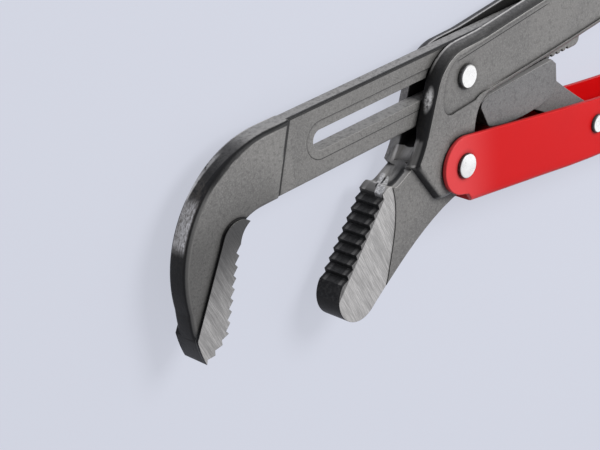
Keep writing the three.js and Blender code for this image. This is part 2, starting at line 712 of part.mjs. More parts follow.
// side outline; lift raises the lower edge by the sheet's thickness for the inside
function leverSide({ lift = 0, open = 0, ends = 0 }) {
  const stations = 18;
  const upper = [];
  const lower = [];
  for (let i = 0; i <= stations; i += 1) {
    const t = i / stations;
    const point = leverLine.getPoint(t);
    const tangent = leverLine.getTangent(t);
    const angle = Math.atan2(tangent.y, tangent.x);
    const half = THREE.MathUtils.lerp(LEVER_HALF, LEVER_GRIP_HALF, THREE.MathUtils.smoothstep(t, 0, 0.75));
    upper.push(along([point.x, point.y], angle, 0, half + open));
    lower.unshift(along([point.x, point.y], angle, 0, -half + lift));
  }
  const endPoint = leverLine.getPoint(1);
  const endTangent = leverLine.getTangent(1);
  const endAngle = Math.atan2(endTangent.y, endTangent.x);
  return { upper, lower, endPoint, endAngle, endRadius: LEVER_GRIP_HALF - ends };
}

function leverOuter() {
  const { upper, lower, endPoint, endAngle, endRadius } = leverSide({});
  const shape = new THREE.Shape();
  const top = leverTilt + Math.PI / 2;
  shape.moveTo(...onLever(0, EAR_RADIUS));
  upper.forEach((point) => shape.lineTo(...point));
  shape.absarc(endPoint.x, endPoint.y, endRadius, endAngle + Math.PI / 2, endAngle - Math.PI / 2, true);
  lower.forEach((point) => shape.lineTo(...point));
  shape.lineTo(...onLever(WEB_START, -WEB_DROP));
  shape.lineTo(...onLever(WEB_START - 3.4, -EAR_RADIUS - 0.6));
  shape.lineTo(...onLever(0, -EAR_RADIUS));
  shape.absarc(...leverPinAt, EAR_RADIUS, top - Math.PI, top, true);
  return shape;
}

// everything above the web's outer face, drawn oversize elsewhere, to round the two long bends
function leverBendOutline() {
  const { lower, endPoint, endRadius } = leverSide({});
  const shape = new THREE.Shape();
  const beyond = endPoint.x + endRadius + 20;
  shape.moveTo(beyond, LEVER_Y + 60);
  shape.lineTo(beyond, lower[0][1]);
  lower.forEach((point) => shape.lineTo(...point));
  shape.lineTo(...onLever(WEB_START, -WEB_DROP));
  shape.lineTo(...onLever(-40, -WEB_DROP));
  shape.lineTo(LEVER_X - 60, LEVER_Y + 60);
  return shape;
}

function leverInside() {
  const options = { lift: LEVER_SHEET, open: 12, ends: LEVER_SHEET };
  const { upper, lower, endPoint, endAngle, endRadius } = leverSide(options);
  const shape = new THREE.Shape();
  shape.moveTo(...onLever(-40, EAR_RADIUS + 12));
  upper.forEach((point) => shape.lineTo(...point));
  shape.absarc(endPoint.x, endPoint.y, endRadius, endAngle + Math.PI / 2, endAngle - Math.PI / 2, true);
  lower.forEach((point) => shape.lineTo(...point));
  shape.lineTo(...onLever(WEB_START, -WEB_DROP + LEVER_SHEET));
  shape.lineTo(...onLever(WEB_START, -WEB_DROP - 12));
  shape.lineTo(...onLever(-40, -WEB_DROP - 12));
  return shape;
}

function squeezeLever() {
  let piece = plate(leverOuter(), 2 * leverFace, { edge: 0.4, curveSegments: 14 });
  piece = piece.intersect(plate(leverBendOutline(), 2 * leverFace, { edge: LEVER_BEND }));
  piece = piece.subtract(plate(leverInside(), 2 * leverInner, { edge: 0.9 }));
  piece = piece.subtract(cylinder(LEVER_PIN / 2 + RUNNING_GAP, 4 * leverFace, ...leverPinAt));
  return piece.subtract(cylinder(BLOCK_PIN / 2 + RUNNING_GAP, 4 * leverFace, BLOCK_PIN_X, BLOCK_PIN_Y));
}

// ---------------------------------------------------------------- locking block

const engage = THREE.MathUtils.degToRad(LEVER_ENGAGE);

// turns a piece that is drawn in mesh with the rack back to where the lever holds it at rest
function fromMeshToRest(piece) {
  const centred = piece.translate([-LEVER_X, -LEVER_Y, 0]);
  return centred.rotate([0, 0, -LEVER_ENGAGE]).translate([LEVER_X, LEVER_Y, 0]);
}

// the block's top edge, which still clears the handle's walls once the lever has brought it up
function blockTop(x) {
  const u = x / Math.cos(handleTilt);
  const wall = onHandle(u, -handleHalfHeight(u))[1];
  return wall - 2 * RUNNING_GAP - (x - LEVER_X) * Math.tan(engage);
}

function lockingBlock() {
  const pin = [BLOCK_PIN_X, BLOCK_PIN_Y];
  const right = BLOCK_TEETH_START + BLOCK_TEETH * RACK_PITCH + 3;
  const head = new THREE.Shape();
  head.moveTo(16.5, blockTop(16.5));
  head.quadraticCurveTo(10.4, blockTop(11) - 1.1, 10.9, -19.4);
  head.lineTo(14.7, -28.1);
  head.quadraticCurveTo(15.9, -30.3, 19.1, -30.6);
  head.quadraticCurveTo(32, -34, 46, -33.2);
  head.quadraticCurveTo(right - 2, -32.6, right, -27);
  head.lineTo(right, blockTop(right) - 3);
  head.lineTo(right - 3, blockTop(right - 3));
  let piece = plate(head, BLOCK_THICKNESS, { edge: 0.5 });

  const neck = new THREE.Shape();
  neck.moveTo(40, -30);
  neck.quadraticCurveTo(62, -37, pin[0] - BLOCK_BOSS * 0.8, pin[1] - BLOCK_BOSS * 0.6);
  neck.absarc(...pin, BLOCK_BOSS, Math.PI * 1.2, Math.PI * 2.25, false);
  neck.quadraticCurveTo(right + 11, -34, right - 1, -23);
  piece = piece.add(plate(neck, BLOCK_NECK));

  const floor = -shankTop - RUNNING_GAP;
  const groove = polygon([[0, floor - 1.6], [BLOCK_TEETH_START - 2, floor - 1.6],
    [BLOCK_TEETH_START - 2, floor], [right + 9, floor], [right + 9, 30], [0, 30]]);
  piece = piece.subtract(fromMeshToRest(plate(groove, channelWidth)));
  const toothTop = floor + RACK_DEPTH;
  const run = RACK_DEPTH * Math.tan(THREE.MathUtils.degToRad(RACK_FLANK));
  const half = RACK_PITCH / 4 + run / 2 - RUNNING_GAP / 2;
  for (let i = 0; i < BLOCK_TEETH; i += 1) {
    const x = BLOCK_TEETH_START + i * RACK_PITCH;
    const tooth = polygon([[x - half, floor - 0.5], [x + half, floor - 0.5], [x + half, floor],
      [x + half - run, toothTop], [x - half + run, toothTop], [x - half, floor]]);
    piece = piece.add(fromMeshToRest(plate(tooth, SHANK_THICKNESS - 0.6)));
  }
  return piece.subtract(cylinder(BLOCK_PIN / 2 + RUNNING_GAP, 2 * BLOCK_THICKNESS, ...pin));
}

// ---------------------------------------------------------------- pins, bush, spacer, springs

// a pin along Z with a riveted head at each end; the heads sit at seat and reach seat + height
function rivetedPin(diameter, headDiameter, seat, height, x, y) {
  const head = headDiameter / 2;
  const top = seat + height;
  const profile = [
    [0, -top], [head * HEAD_CROWN, -top], [head * 0.96, -top + height * 0.3], [head, -seat],
    [diameter / 2, -seat], [diameter / 2, seat],
    [head, seat], [head * 0.96, top - height * 0.3], [head * HEAD_CROWN, top], [0, top],
  ].map(([r, h]) => new THREE.Vector2(r, h));
  const geometry = new THREE.LatheGeometry(profile, 32);
  geometry.rotateX(Math.PI / 2);
  geometry.translate(x, y, 0);
  return solid(geometry);
}

function tube(outer, inner, low, high, x, y) {
  const middle = (low + high) / 2;
  const height = high - low;
  return cylinder(outer / 2, height, x, y, middle).subtract(cylinder(inner / 2, 2 * height, x, y, middle));
}

const bushOuter = SLOT_HEIGHT - 2 * RUNNING_GAP;
const guideBush = tube(bushOuter, JAW_PIN + RUNNING_GAP, -SHANK_THICKNESS / 2, SHANK_THICKNESS / 2, 0, 0);
const neckFace = BLOCK_NECK / 2;
const spacer = tube(BLOCK_PIN + 4, BLOCK_PIN + 2 * RUNNING_GAP, neckFace + RUNNING_GAP,
  leverInner - RUNNING_GAP, BLOCK_PIN_X, BLOCK_PIN_Y);

function blockSpring() {
  const radius = BLOCK_PIN / 2 + SPRING_WIRE / 2 + 0.9;
  const path = new TorsionSpring({
    x: BLOCK_PIN_X,
    y: BLOCK_PIN_Y,
    zLow: -leverInner + RUNNING_GAP + SPRING_WIRE / 2,
    radius,
    pitch: SPRING_WIRE + 0.7,
    turns: 1.303,
    startAngle: -Math.PI / 4,
    legs: [13, 32.4],
  });
  return wire(path, SPRING_WIRE / 2, 72);
}

function leverSpring() {
  const radius = SPRING_POCKET / 2 - SPRING_WIRE / 2 - 1;
  const path = new TorsionSpring({
    x: LEVER_X,
    y: LEVER_Y,
    zLow: -bodyFace + POCKET_DEPTH - SPRING_WIRE / 2 - RUNNING_GAP - (SPRING_WIRE + 0.3) * LEVER_SPRING_TURNS,
    radius,
    pitch: SPRING_WIRE + 0.3,
    turns: LEVER_SPRING_TURNS,
    startAngle: 0,
    legs: [1, 1],
  });
  return wire(path, SPRING_WIRE / 2, 60);
}

// ---------------------------------------------------------------- assembly

const wrench = new THREE.Group();
wrench.add(
  pieceMesh('handle_body', handleBody(), materials.body),
  pieceMesh('hook_jaw', hookJaw(), materials.hook),
  pieceMesh('guide_bush', guideBush, materials.bush),
  pieceMesh('jaw_pin', rivetedPin(JAW_PIN, JAW_PIN_HEAD, panelFace + SEAT_GAP,
    JAW_HEAD_HEIGHT, 0, 0), materials.pin),
  pieceMesh('squeeze_lever', squeezeLever(), materials.lever),
  pieceMesh('lever_pin', rivetedPin(LEVER_PIN, LEVER_PIN_HEAD, leverFace + RUNNING_GAP, LEVER_HEAD_HEIGHT,
    LEVER_X, LEVER_Y), materials.pin),
  pieceMesh('locking_block', lockingBlock(), materials.block),
  pieceMesh('block_pin', rivetedPin(BLOCK_PIN, BLOCK_PIN_HEAD, leverFace + SEAT_GAP, BLOCK_HEAD_HEIGHT,
    BLOCK_PIN_X, BLOCK_PIN_Y), materials.pin),
  pieceMesh('block_spacer', spacer, materials.bush),
  pieceMesh('block_spring', blockSpring(), materials.spring),
  pieceMesh('lever_spring', leverSpring(), materials.spring),
);
wrench.position.z = headFace;

export default wrench;
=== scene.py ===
import math

import bpy
from mathutils import Matrix, Vector


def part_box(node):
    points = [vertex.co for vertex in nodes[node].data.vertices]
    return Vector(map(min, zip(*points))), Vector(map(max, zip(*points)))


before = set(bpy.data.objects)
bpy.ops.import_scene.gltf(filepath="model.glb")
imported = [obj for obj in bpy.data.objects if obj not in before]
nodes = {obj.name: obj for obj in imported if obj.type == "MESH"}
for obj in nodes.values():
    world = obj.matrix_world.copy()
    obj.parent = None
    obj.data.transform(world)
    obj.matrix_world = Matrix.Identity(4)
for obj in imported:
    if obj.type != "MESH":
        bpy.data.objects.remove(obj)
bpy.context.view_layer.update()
scene = bpy.context.scene
scene.view_settings.view_transform = "Standard"

body_low, body_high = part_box("handle_body")
MID_Z = (body_low.z + body_high.z) / 2  # the wrench's middle plane
FLOOR_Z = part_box("lever_pin")[0].z

# The solids, as far as the materials follow them: x and y in metres from the jaw pin's axis,
# thickness in metres from the middle plane.
JAW_FACE = 0.0052
BODY_FACE = 0.0100
ABOVE_PANEL = (0.0097, 0.0099)  # further out, a flat is the body's face, not its sunk panel
TOOTH_FACE = 0.0070  # the sides of the teeth lie within this
STEP_X = 0.100  # the step between hook and shank, left of the pin at the shank's top edge
STEP_LEAN = 9.8 / 30.0
SHANK_TOP = 0.015
SLOT_LEFT, SLOT_RIGHT = -0.0831, 0.016
RELIEF_RADIUS = 0.0081
PAD_HEAD_X, PAD_HEAD_Y, PAD_HEAD_RADIUS = -0.1337, -0.0233, 0.009
PANEL_TOP, PANEL_RISE = 0.00875, 0.1  # the panel's upper edge over the pin, and its slope
CHANNEL_END, CHANNEL_HALF = -0.0364, 0.0040  # between the cheeks: its lowest level, half width

# The camera, found from the photo's straight edges and round holes, in metres and millimetres.
CAMERA_X, CAMERA_Y, CAMERA_OVER_MID = -0.5140, 0.2668, 0.4493
CAMERA_RIGHT = (0.6984, -0.0900, 0.7100)
CAMERA_BACK = (-0.6119, 0.4395, 0.6576)
LENS_MM, SENSOR_MM = 102.0, 36.0
CLIP_START, CLIP_END = 0.01, 20.0

# Colours. The tones are multiples of a forging's own grey.
JAW_GREY = (0.222, 0.216, 0.206)
BODY_GREY = (0.207, 0.201, 0.192)
BLOCK_GREY = (0.172, 0.169, 0.167)
GROUND_STEEL = (0.55, 0.55, 0.54)
SPRING_STEEL = (0.36, 0.37, 0.39)
# tones: the darkest also serve as painted shade, the brightest as painted highlights
BLACK, DEEP_SHADE, DARK, WORN_AND_HIGHLIT, BRIGHT = 0.03, 0.04, 0.05, 2.4, 4.0
WARM = 0.12  # how far a tone leans to brown
FLOOR_COLOUR = (0.40, 0.41, 0.46, 1.0)
FLOOR_GLOW = (0.83, 0.86, 0.975, 1.0)
FLOOR_GLOW_SHARE = 0.62
BACKDROP = (0.65, 0.67, 0.76, 1.0)
AMBIENT = (0.95, 0.965, 1.0, 1.0)
AMBIENT_STRENGTH = 0.30

FLOOR_HALF = 6.0
FLOOR_GAP = 0.0002
MERGE_DISTANCE = 2e-6
SHARP_DEGREES = 38
AREA_WEIGHT = 80
MIX_FLOAT, MIX_COLOUR = (2, 3, 0), (6, 7, 2)  # a Mix node's sockets: A, B and the result


# ---------------------------------------------------------------- camera

def place_camera():
    data = bpy.data.cameras.new("camera")
    data.lens = LENS_MM
    data.sensor_width = SENSOR_MM
    data.sensor_fit = "HORIZONTAL"
    data.clip_start = CLIP_START
    data.clip_end = CLIP_END
    camera = bpy.data.objects.new("camera", data)
    scene.collection.objects.link(camera)
    right = Vector(CAMERA_RIGHT).normalized()
    back = Vector(CAMERA_BACK).normalized()
    up = back.cross(right).normalized()
    right = up.cross(back).normalized()
    place = Matrix((right, up, back)).transposed().to_4x4()
    place.translation = Vector((CAMERA_X, CAMERA_Y, CAMERA_OVER_MID + MID_Z))
    camera.matrix_world = place
    scene.camera = camera


# ---------------------------------------------------------------- node helpers

class Nodes:
    """Short names for building one material's node tree."""

    def __init__(self, name):
        self.material = bpy.data.materials.new(name)
        self.material.use_nodes = True
        self.tree = self.material.node_tree
        self.tree.nodes.clear()
        self.output = self.add("ShaderNodeOutputMaterial")
        self.shader = self.add("ShaderNodeBsdfPrincipled")
        self.link(self.shader.outputs[0], self.output.inputs[0])
        self.coords = self.add("ShaderNodeTexCoord").outputs["Object"]
        self.geometry = self.add("ShaderNodeNewGeometry")

    def add(self, kind, **settings):
        node = self.tree.nodes.new(kind)
        for key, value in settings.items():
            setattr(node, key, value)
        return node

    def link(self, source, target):
        self.tree.links.new(source, target)

    def feed(self, socket, value):
        if isinstance(value, bpy.types.NodeSocket):
            self.link(value, socket)
        else:
            socket.default_value = value

    def set(self, **sockets):
        """Constants on the shader's own sockets, such as Coat_Weight=0.05."""
        for name, value in sockets.items():
            self.shader.inputs[name.replace("_", " ")].default_value = value

    def math(self, operation, a, b=0.0, clamp=False):
        node = self.add("ShaderNodeMath", operation=operation, use_clamp=clamp)
        self.feed(node.inputs[0], a)
        self.feed(node.inputs[1], b)
        return node.outputs[0]

    def times(self, *values):
        result = values[0]
        for value in values[1:]:
            result = self.math("MULTIPLY", result, value)
        return result

    def plus(self, a, b):
        return self.math("ADD", a, b)

    def minus(self, a, b):
        return self.math("SUBTRACT", a, b)

    def without(self, share):
        return self.minus(1.0, share)

    def most(self, a, b):
        return self.math("MAXIMUM", a, b)

    def least(self, a, b):
        return self.math("MINIMUM", a, b)

    def unsigned(self, value):
        return self.math("ABSOLUTE", value)

    def length(self, a, b):
        return self.math("SQRT", self.plus(self.times(a, a), self.times(b, b)))

    def ramp(self, value, low, high):
        """0 at low, 1 at high, whichever is the larger."""
        node = self.add("ShaderNodeMapRange", interpolation_type="SMOOTHSTEP")
        self.feed(node.inputs["Value"], value)
        node.inputs["From Min"].default_value = min(low, high)
        node.inputs["From Max"].default_value = max(low, high)
        node.inputs["To Min"].default_value = 0.0 if low < high else 1.0
        node.inputs["To Max"].default_value = 1.0 if low < high else 0.0
        return node.outputs[0]

    def between(self, value, low, high, soft):
        """1 from low to high, with both ends soft on either side."""
        rise = self.ramp(value, low - soft, low + soft)
        fall = self.ramp(value, high - soft, high + soft)
        return self.math("SUBTRACT", rise, fall, clamp=True)

    def crossfade(self, kind, sockets, share, a, b):
        first, second, result = sockets
        node = self.add("ShaderNodeMix", data_type=kind)
        self.feed(node.inputs["Factor"], share)
        self.feed(node.inputs[first], a)
        self.feed(node.inputs[second], b)
        return node.outputs[result]

    def mix(self, share, a, b):
        """Colour a, and colour b where share is 1."""
        a, b = ((*c[:3], 1.0) if isinstance(c, (tuple, list)) else c for c in (a, b))
        return self.crossfade("RGBA", MIX_COLOUR, share, a, b)

    def blend(self, share, a, b):
        """Number a, and number b where share is 1."""
        return self.crossfade("FLOAT", MIX_FLOAT, share, a, b)

    def noise(self, scale, detail=3.0, roughness=0.5, vector=None, distortion=0.0):
        node = self.add("ShaderNodeTexNoise")
        self.link(vector or self.coords, node.inputs["Vector"])
        node.inputs["Scale"].default_value = scale
        node.inputs["Detail"].default_value = detail
        node.inputs["Roughness"].default_value = roughness
        node.inputs["Distortion"].default_value = distortion
        return node.outputs["Fac"]

    def strokes(self, angle, along, across, detail=4.0, through=None):
        """Noise drawn out along a direction in the XY plane, given in degrees."""
        turn = self.add("ShaderNodeVectorRotate", rotation_type="Z_AXIS")
        self.link(self.coords, turn.inputs["Vector"])
        turn.inputs["Angle"].default_value = -math.radians(angle)
        stretch = self.add("ShaderNodeVectorMath", operation="MULTIPLY")
        self.link(turn.outputs[0], stretch.inputs[0])
        through = along if through is None else through
        stretch.inputs[1].default_value = (along, across, through)
        return self.noise(1.0, detail, roughness=0.65, vector=stretch.outputs[0])

    def axes(self, vector=None):
        node = self.add("ShaderNodeSeparateXYZ")
        self.link(vector or self.coords, node.inputs[0])
        return node.outputs

    def bump(self, height, distance, strength, normal):
        """Relief on the shader's normal."""
        node = self.add("ShaderNodeBump")
        self.link(height, node.inputs["Height"])
        node.inputs["Distance"].default_value = distance
        node.inputs["Strength"].default_value = strength
        self.link(normal, node.inputs["Normal"])
        self.link(node.outputs[0], self.shader.inputs["Normal"])

    def rounded(self, radius):
        node = self.add("ShaderNodeBevel", samples=6)
        node.inputs["Radius"].default_value = radius
        return node.outputs[0]

    def edge_share(self, rounded, low, high):
        """Towards 1 near sharp edges, 0 on flats."""
        dot = self.add("ShaderNodeVectorMath", operation="DOT_PRODUCT")
        self.link(rounded, dot.inputs[0])
        self.link(self.geometry.outputs["Normal"], dot.inputs[1])
        return self.ramp(self.without(dot.outputs["Value"]), low, high)

    def occlusion_shade(self, distance, strength):
        """Painted shade: 0 in the open, towards 1 in corners and gaps, from ambient occlusion."""
        node = self.add("ShaderNodeAmbientOcclusion", samples=8)
        node.inputs["Distance"].default_value = distance
        closed = self.without(node.outputs["AO"])
        return self.math("MULTIPLY", closed, strength, clamp=True)


def assign(material, *names):
    for name in names:
        slots = nodes[name].data.materials
        slots.clear()
        slots.append(material)


# ---------------------------------------------------------------- forged steel

class Forged:
    """Sandblasted, phosphated forging: even grey faces, painted shade on the walls that face left,
    away from the handle, edges worn and lit with painted highlights, and painted shade in the
    corners. Each layer is painted over the ones before it. Subclasses add what one forging alone
    has."""

    def __init__(self, name, grey):
        self.grey = grey
        n = self.n = Nodes(name)
        self.x, self.y, z = n.axes()
        self.lift = n.minus(z, MID_Z)  # over the middle plane, towards the photo's camera
        self.side = n.unsigned(self.lift)
        self.true = n.axes(n.geometry.outputs["True Normal"])
        self.soft = n.axes(n.geometry.outputs["Normal"])
        self.flat = n.ramp(n.unsigned(self.true[2]), 0.93, 0.98)
        self.leftward = n.ramp(n.times(self.soft[0], -1.0), 0.10, 0.75)
        self.backward = n.ramp(n.minus(self.soft[1], self.soft[0]), 0.10, 0.45)
        self.grain = n.noise(scale=1300.0, detail=2.0, roughness=0.6)
        self.pits = n.noise(scale=620.0, detail=3.0, roughness=0.62)
        self.cloud = n.noise(scale=34.0, detail=4.0, roughness=0.55)
        self.rounded = n.rounded(0.0004)
        self.edge = n.edge_share(self.rounded, 0.02, 0.25)
        self.rough = n.blend(n.ramp(self.cloud, 0.3, 0.7), 0.42, 0.56)
        self.metal = 0.2
        self.relief = n.plus(n.times(self.grain, 0.6), n.times(self.pits, 0.4))
        self.skin()
        self.scale()
        self.rim()
        self.rubbing_and_highlights()
        self.details()
        self.finish()

    def shade(self, factor, warm=0.0):
        r, g, b = (min(1.0, c * factor) for c in self.grey)
        return (min(1.0, r * (1 + warm)), g, b * (1 - warm))

    def paint(self, mask, colour, amount=None):
        """Lay a colour over the surface where mask is 1. A plain number is a tone."""
        share = mask if amount is None else self.n.times(mask, amount)
        if isinstance(colour, float):
            colour = self.shade(colour)
        self.colour = self.n.mix(share, self.colour, colour)

    def layered(self, base, *layers):
        """A colour with tones laid over it, each where its mask is 1."""
        for mask, tone in layers:
            base = self.n.mix(mask, base, self.shade(tone))
        return base

    def polish(self, mask, amount, rough):
        """Bare metal that mirrors what is round it."""
        share = self.n.times(mask, amount)
        self.metal = self.n.blend(share, self.metal, 0.95)
        self.rough = self.n.blend(share, self.rough, rough)

    def skin(self):
        n = self.n
        self.colour = n.mix(n.ramp(self.cloud, 0.32, 0.68), self.shade(0.88), self.shade(1.10))
        self.paint(n.ramp(self.grain, 0.44, 0.66), 1.55, amount=0.44)
        self.paint(n.ramp(self.pits, 0.50, 0.66), 0.52, amount=0.44)
        smudge = n.noise(scale=13.0, detail=3.0, roughness=0.5, distortion=0.6)
        self.paint(n.ramp(smudge, 0.52, 0.72), 0.6, amount=0.2)

    def bare(self):
        """The painted shade on walls that face left."""
        return self.shade(0.30, WARM)

    def darkest_wall_tone(self):
        """The darkest tone of that painted shade."""
        return self.shade(BLACK)

    def scale(self):
        tone = self.n.mix(self.n.ramp(self.pits, 0.34, 0.66), self.darkest_wall_tone(), self.bare())
        # painted shade: walls that face left are darkened to these tones
        self.paint(self.leftward, tone, amount=0.97)

    def paint_turn_shade(self, start, end):
        """Painted shade: black where the near faces turn over into the back, from one slope to
        another.
        """
        n = self.n
        turn = n.times(n.ramp(self.soft[2], *start), n.ramp(self.soft[2], *end), self.backward)
        self.paint(turn, BLACK, amount=0.95)

    def rim(self):
        self.paint_turn_shade((0.12, 0.55), (0.985, 0.93))

    def worn(self):
        """Patchy, as scale rubs off."""
        return self.n.ramp(self.pits, 0.25, 0.5)

    def rubbing_and_highlights(self):
        n = self.n
        # painted light: surfaces that face up are lighter, in patches
        top = n.times(n.ramp(self.soft[1], 0.80, 0.97), n.ramp(self.pits, 0.25, 0.6))
        self.paint(top, 2.5, amount=0.6)
        # edges lighter, partly wear and partly painted highlight
        self.paint(n.times(self.edge, self.worn()), WORN_AND_HIGHLIT, amount=0.45)

    def edge_highlight(self, face, deep, shallow, amount):
        """A painted highlight: a thin bright line along the back's edges, between two depths under
        the face.
        """
        n = self.n
        line = n.between(self.side, face - deep, face - shallow, 0.00003)
        self.paint(n.times(line, self.backward), WORN_AND_HIGHLIT, amount)

    def details(self):
        """What one forging alone has."""

    def ground(self, low, right, tone, below=None, stain_and_shadow=None):
        """The sides of the teeth, further out than low and left of right, ground bright with
        slanting wheel marks."""
        n = self.n
        here = n.times(n.between(self.side, low, TOOTH_FACE, 0.00003), self.flat)
        if below is not None:
            here = n.times(here, below)
        here = n.times(here, n.ramp(self.x, right, right - 0.0001))
        marks = n.strokes(angle=-66.0, along=150.0, across=2600.0)
        broad = n.strokes(angle=-66.0, along=40.0, across=520.0, detail=2.0)
        low_tone, high_tone, dull = (tuple(tone * c * warm for warm in (1.0, 0.975, 0.95))
                                     for c in (0.36, 0.60, 0.27))
        steel = n.mix(n.ramp(marks, 0.32, 0.68), low_tone, high_tone)
        steel = n.mix(n.times(n.ramp(broad, 0.42, 0.66), 0.5), steel, dull)
        # the flank darkened where the mask says, by a stain and by painted shadow
        if stain_and_shadow is not None:
            steel = n.mix(stain_and_shadow, steel, (0.050, 0.049, 0.048))
        self.paint(here, steel)
        self.rough = n.blend(here, self.rough, 0.40)
        self.relief = n.blend(here, self.relief, n.times(marks, 0.8))

    def no_painted_shade(self):
        """Where no painted shade is laid in the corners."""
        return 0.0

    def finish(self):
        n = self.n
        # painted shade in corners and gaps, from ambient occlusion
        self.paint(n.times(n.occlusion_shade(0.0035, 1.7), n.without(self.no_painted_shade())), BLACK)
        n.link(self.colour, n.shader.inputs["Base Color"])
        n.feed(n.shader.inputs["Metallic"], self.metal)
        n.link(self.rough, n.shader.inputs["Roughness"])
        n.set(Specular_IOR_Level=0.25)
        n.bump(self.relief, distance=0.00016, strength=1.0, normal=self.rounded)


class ForgedJaw(Forged):
    """Hook and shank."""

    def skin(self):
        super().skin()
        n = self.n
        # painted shade: the hook's face darker towards the bottom
        nose_shade = n.times(n.ramp(self.y, 0.006, -0.022), n.ramp(self.x, -0.100, -0.118))
        self.paint(nose_shade, 0.12, amount=0.54)
        shank = n.ramp(self.x, -0.1010, -0.0990)
        self.paint(shank, 0.3, amount=0.12)

    def bare(self):
        n = self.n
        # painted shade on the walls that face left: darker low down, lighter past the bend
        up = n.ramp(self.y, -0.028, -0.006)
        tone = n.mix(up, self.shade(DARK, WARM), self.shade(0.28, WARM))
        past_bend = n.ramp(n.plus(self.x, self.y), -0.138, -0.102)
        return n.mix(past_bend, tone, self.shade(1.4, 0.08))

    def details(self):
        n = self.n
        lit_lip = self.far_rim()
        self.edge_highlight(JAW_FACE, deep=0.00022, shallow=0.00002, amount=0.3)
        self.dusk(lit_lip)
        # darker towards the top of the ground flank: partly a stain, partly the painted shadow of a
        # nut held in the jaw
        stain_and_shadow = n.times(n.ramp(self.y, -0.056, -0.018), 0.93)
        self.ground(low=0.0061, right=-0.115, tone=0.84, stain_and_shadow=stain_and_shadow)
        self.beaten_patch()
        self.pad_outline()
        self.shank_painted_shade()
        self.back_painted_shade()

    def far_rim(self):
        """The hook's far rim catches the light."""
        n = self.n
        inner = n.blend(n.ramp(self.y, -0.002, 0.012), -0.0030, -0.0014)
        beyond = n.ramp(n.minus(self.lift, inner), 0.0004, -0.0006)
        above_patch = n.ramp(self.y, -0.004, -0.001)
        outermost = n.ramp(self.lift, -0.0030, -0.0038)  # all of it that is lit near the step
        lit = n.blend(n.ramp(self.y, 0.0120, 0.0098), outermost, 1.0)
        uneven = n.ramp(n.noise(scale=240.0, detail=4.0, roughness=0.7), 0.30, 0.50)
        lit_lip = n.times(beyond, self.backward, above_patch, lit, uneven)
        # painted highlight on the far rim
        self.paint(lit_lip, 4.2, amount=0.8)
        self.polish(lit_lip, amount=0.6, rough=0.40)
        return lit_lip

    def dusk(self, lit_lip):
        """Painted shade: the back darkens towards the bend, less so on its lit rim."""
        n = self.n
        to_bend = n.ramp(self.x, -0.1175, -0.1285)
        above_patch = n.ramp(self.y, 0.0030, 0.0060)
        dusk = n.times(to_bend, above_patch, self.backward, n.without(n.times(lit_lip, 0.4)))
        self.paint(dusk, 0.08, amount=0.78)

    def beaten_patch(self):
        """A patch on the hook's back, beaten bright and painted as a highlight, with painted shade
        along its far edge.
        """
        n = self.n
        on_back, off_near_edge = n.ramp(self.x, -0.146, -0.150), n.ramp(self.lift, 0.0036, 0.0026)
        patch = n.times(n.between(self.y, -0.0180, -0.0020, 0.0026), on_back, off_near_edge)
        streaks = n.strokes(angle=84.0, along=260.0, across=900.0, through=2600.0)
        dents = n.noise(scale=900.0, detail=4.0, roughness=0.72)
        beaten = n.ramp(n.plus(n.times(streaks, 0.65), n.times(dents, 0.35)), 0.36, 0.62)
        self.paint(patch, self.shade(1.5, 0.05), amount=0.6)
        self.paint(n.times(patch, beaten), (0.80, 0.78, 0.75), amount=0.9)
        towards_near = n.ramp(self.lift, -0.0030, 0.0026)
        self.polish(n.times(patch, beaten, towards_near), amount=0.7, rough=0.40)
        far_edge_shade, below_lip = n.ramp(self.lift, -0.0034, -0.0040), n.ramp(self.y, -0.001, -0.004)
        self.paint(n.times(far_edge_shade, below_lip, self.backward), DARK, amount=0.8)

    def pad_outline(self):
        """Painted shade on the line round the tooth pad's head and on the pad's wall."""
        n = self.n
        above = n.minus(self.y, PAD_HEAD_Y)
        from_head = n.length(n.minus(self.x, PAD_HEAD_X), above)
        ring = n.between(from_head, PAD_HEAD_RADIUS - 0.0001, PAD_HEAD_RADIUS + 0.0007, 0.00015)
        upper_half, under_pad = n.ramp(above, -0.002, 0.001), n.ramp(self.side, 0.0064, 0.0062)
        self.paint(n.times(ring, upper_half, under_pad), BLACK, amount=0.92)
        height = n.between(self.side, 0.0053, 0.0063, 0.00005)
        steep, below_back = n.ramp(self.flat, 0.6, 0.3), n.ramp(self.y, -0.014, -0.016)
        self.paint(n.times(height, steep, below_back), BLACK, amount=0.92)

    def shank_painted_shade(self):
        """Painted shade along the foot of the step, round the slot's relief and along the top edge.
        """
        n = self.n
        lean = n.times(n.minus(SHANK_TOP, self.y), STEP_LEAN)
        from_foot = n.plus(n.plus(self.x, STEP_X), lean)
        step = n.times(n.between(from_foot, -0.001, 0.00150, 0.00012),
                       n.ramp(self.side, 0.0042, 0.0040))
        self.paint(n.times(step, self.flat), DEEP_SHADE, amount=0.85)
        middle, half = (SLOT_LEFT + SLOT_RIGHT) / 2, (SLOT_RIGHT - SLOT_LEFT) / 2
        from_middle = n.unsigned(n.minus(self.x, middle))
        past_end = n.most(n.minus(from_middle, half), 0.0)
        off_edge = n.unsigned(n.minus(n.length(past_end, self.y), RELIEF_RADIUS))
        relief = n.times(n.ramp(off_edge, 0.00030, 0.00012), self.flat,
                         n.ramp(self.side, 0.0040, 0.0037))
        self.paint(relief, DEEP_SHADE, amount=0.75)
        top = n.times(n.between(self.lift, 0.00225, 0.0040, 0.0001),
                      n.ramp(self.y, 0.0138, 0.0141), n.ramp(self.x, -0.1006, -0.1000))
        self.paint(top, BLACK, amount=0.9)

